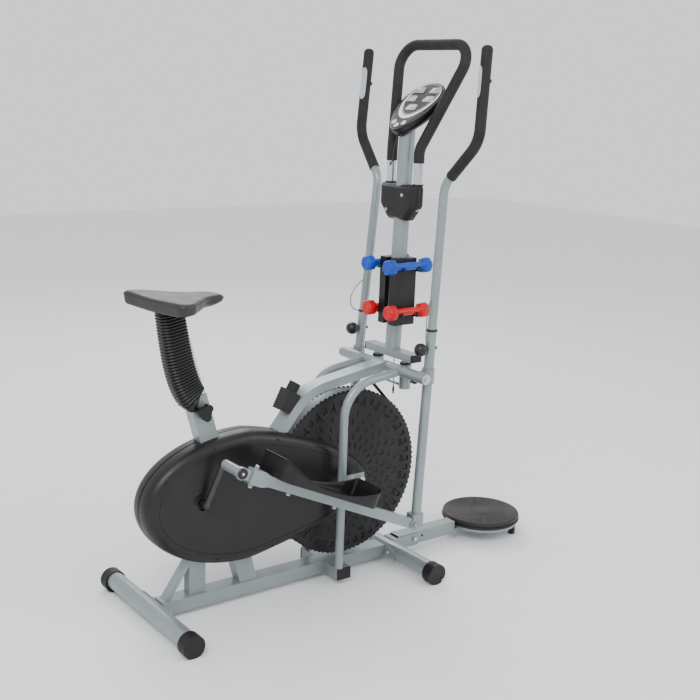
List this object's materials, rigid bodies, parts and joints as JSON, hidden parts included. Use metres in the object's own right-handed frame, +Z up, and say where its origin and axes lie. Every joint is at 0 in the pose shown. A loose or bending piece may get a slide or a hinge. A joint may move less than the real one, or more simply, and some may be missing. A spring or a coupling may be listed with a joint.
{
  "type": "elliptical trainer",
  "caption": "Upright elliptical trainer with a belted air wheel, foot trays on swinging arms, a saddle, a console, hand weights on the mast and a twist disc in front.",
  "frame": {"origin": "on the floor, at the middle of the length and width", "axes": "+X forward, towards the twist disc; +Y to the rider's left; +Z up"},
  "size_m": [1.3683, 0.593, 1.561],
  "materials": {
    "frame_paint": "satin grey-green enamel",
    "wheel_paint": "satin grey enamel",
    "dark_steel": "black oxide",
    "crank_paint": "satin black",
    "bright_steel": "polished",
    "zinc_steel": "zinc plated",
    "black_plastic": "moulded, fine texture",
    "panel_plastic": "semi-gloss",
    "lcd": "grey-green display",
    "key_plastic": "pale keys",
    "foam": "soft foam",
    "boot_rubber": "ribbed rubber",
    "saddle_vinyl": "black vinyl over foam",
    "strap_web": "woven strap",
    "blue_vinyl": "dipped vinyl",
    "red_vinyl": "dipped vinyl",
    "disc_plastic": "moulded, ribbed",
    "cable": "black cable sheath"
  },
  "bodies": {
    "frame": {"main_rail": "frame_paint", "rear_stabilizer": "frame_paint", "front_stabilizer": "frame_paint", "plastic_caps": "black_plastic", "seat_tube": "frame_paint", "arch_tube": "frame_paint", "side_tubes": "frame_paint", "cross_tube": "frame_paint", "mast": "frame_paint", "clamp_housing": "black_plastic", "handle_loop": "bright_steel", "loop_grip": "foam", "console_case": "black_plastic", "console_face": "panel_plastic", "console_display": "lcd", "dumbbell_rack": "black_plastic", "right_shroud": "black_plastic", "left_shroud": "black_plastic", "frame_screws": "zinc_steel", "chain": "dark_steel", "crank_bearings": "zinc_steel", "wheel_axle": "zinc_steel", "tension_strap": "strap_web", "tension_box": "black_plastic", "seat_boot": "boot_rubber", "extension_rail": "frame_paint", "twist_base": "black_plastic", "console_cable": "cable", "sensor_cable": "cable"},
    "lock_knob": {"mast_lock_knob": "black_plastic"},
    "mode_key": {"mode_button": "key_plastic"},
    "set_key": {"set_button": "key_plastic"},
    "reset_key": {"reset_button": "key_plastic"},
    "blue_right": {"blue_dumbbell_right": "blue_vinyl"},
    "blue_left": {"blue_dumbbell_left": "blue_vinyl"},
    "red_right": {"red_dumbbell_right": "red_vinyl"},
    "red_left": {"red_dumbbell_left": "red_vinyl"},
    "crank_unit": {"crank": "crank_paint", "chainring": "dark_steel"},
    "wheel_unit": {"air_wheel": "wheel_paint", "wheel_covers": "black_plastic"},
    "right_arm_unit": {"right_arm": "frame_paint", "right_handle": "frame_paint", "right_grip": "foam", "right_pulse_wire": "cable"},
    "left_arm_unit": {"left_arm": "frame_paint", "left_handle": "frame_paint", "left_grip": "foam", "left_pulse_wire": "cable"},
    "right_lock": {"right_arm_knob": "black_plastic"},
    "left_lock": {"left_arm_knob": "black_plastic"},
    "right_bar_unit": {"right_pedal_bar": "frame_paint", "right_tray": "black_plastic"},
    "left_bar_unit": {"left_pedal_bar": "frame_paint", "left_tray": "black_plastic"},
    "seat_unit": {"seat_post": "bright_steel", "saddle": "saddle_vinyl"},
    "seat_lock": {"seat_knob": "black_plastic"},
    "tension_dial": {"tension_knob": "black_plastic"},
    "twist_unit": {"twist_disc": "disc_plastic"}
  },
  "joints": [
    {"name": "crank_spin", "type": "hinge", "parent": "frame", "child": "crank_unit", "pos_m": [-0.51595, 0, 0.323], "axis": [0, 1, 0], "continuous": true},
    {"name": "wheel_spin", "type": "hinge", "parent": "frame", "child": "wheel_unit", "pos_m": [-0.02395, 0, 0.3165], "axis": [0, 1, 0], "continuous": true},
    {"name": "right_arm_swing", "type": "hinge", "parent": "frame", "child": "right_arm_unit", "pos_m": [0.11305, 0, 0.6205], "axis": [0, 1, 0], "range_deg": [-13.3, 15.8]},
    {"name": "left_arm_swing", "type": "hinge", "parent": "frame", "child": "left_arm_unit", "pos_m": [0.11305, 0, 0.6205], "axis": [0, 1, 0], "range_deg": [-15.8, 13.3]},
    {"name": "right_bar_pivot", "type": "hinge", "parent": "right_arm_unit", "child": "right_bar_unit", "pos_m": [0.11611, -0.165, 0.17501], "axis": [0, 1, 0], "range_deg": [-15.8, 13.3]},
    {"name": "left_bar_pivot", "type": "hinge", "parent": "left_arm_unit", "child": "left_bar_unit", "pos_m": [0.09647, 0.165, 0.17531], "axis": [0, 1, 0], "range_deg": [-13.3, 15.8]},
    {"name": "twist_spin", "type": "hinge", "parent": "frame", "child": "twist_unit", "pos_m": [0.55605, 0, 0], "axis": [0, 0, 1], "continuous": true},
    {"name": "seat_height", "type": "slide", "parent": "frame", "child": "seat_unit", "axis": [-0.284, 0, 0.9588], "range_m": [-0.09, 0], "deforming": ["seat_boot"]},
    {"name": "seat_knob_turn", "type": "hinge", "parent": "frame", "child": "seat_lock", "pos_m": [-0.50867, -0.02, 0.57344], "axis": [0, -1, 0], "range_deg": [0, 360]},
    {"name": "tension_knob_turn", "type": "hinge", "parent": "frame", "child": "tension_dial", "pos_m": [-0.21245, 0, 0.58282], "axis": [0.5137, 0, 0.858], "range_deg": [0, 720]},
    {"name": "mode_press", "type": "slide", "parent": "frame", "child": "mode_key", "axis": [0.6613, 0, -0.7501], "range_m": [0, 0.0015], "stiffness_N_per_m": 300, "springref_m": -0.0005},
    {"name": "set_press", "type": "slide", "parent": "frame", "child": "set_key", "axis": [0.6613, 0, -0.7501], "range_m": [0, 0.0015], "stiffness_N_per_m": 300, "springref_m": -0.0005},
    {"name": "reset_press", "type": "slide", "parent": "frame", "child": "reset_key", "axis": [0.6613, 0, -0.7501], "range_m": [0, 0.0015], "stiffness_N_per_m": 300, "springref_m": -0.0005},
    {"name": "blue_right_lift", "type": "slide", "parent": "frame", "child": "blue_right", "axis": [0, 0, 1], "range_m": [0, 0.12]},
    {"name": "blue_left_lift", "type": "slide", "parent": "frame", "child": "blue_left", "axis": [0, 0, 1], "range_m": [0, 0.12]},
    {"name": "red_right_lift", "type": "slide", "parent": "frame", "child": "red_right", "axis": [0, 0, 1], "range_m": [0, 0.06]},
    {"name": "red_left_lift", "type": "slide", "parent": "frame", "child": "red_left", "axis": [0, 0, 1], "range_m": [0, 0.06]},
    {"name": "right_arm_knob_turn", "type": "hinge", "parent": "right_arm_unit", "child": "right_lock", "pos_m": [0.15251, -0.165, 0.69977], "axis": [1, 0, 0.0069], "range_deg": [0, 360]},
    {"name": "left_arm_knob_turn", "type": "hinge", "parent": "left_arm_unit", "child": "left_lock", "pos_m": [0.15596, 0.165, 0.69796], "axis": [0.9993, 0, -0.0372], "range_deg": [0, 360]},
    {"name": "mast_knob_turn", "type": "hinge", "parent": "frame", "child": "lock_knob", "pos_m": [0.17205, -0.065, 0.5795], "axis": [1, 0, 0], "range_deg": [0, 360]}
  ],
  "couplings": [
    {"joint": "wheel_spin", "follows": "crank_spin", "ratio": 2.5},
    {"joint": "left_arm_swing", "follows": "right_arm_swing", "ratio": -1},
    {"joint": "right_bar_pivot", "follows": "right_arm_swing", "ratio": -1},
    {"joint": "left_bar_pivot", "follows": "right_arm_swing", "ratio": 1}
  ]
}
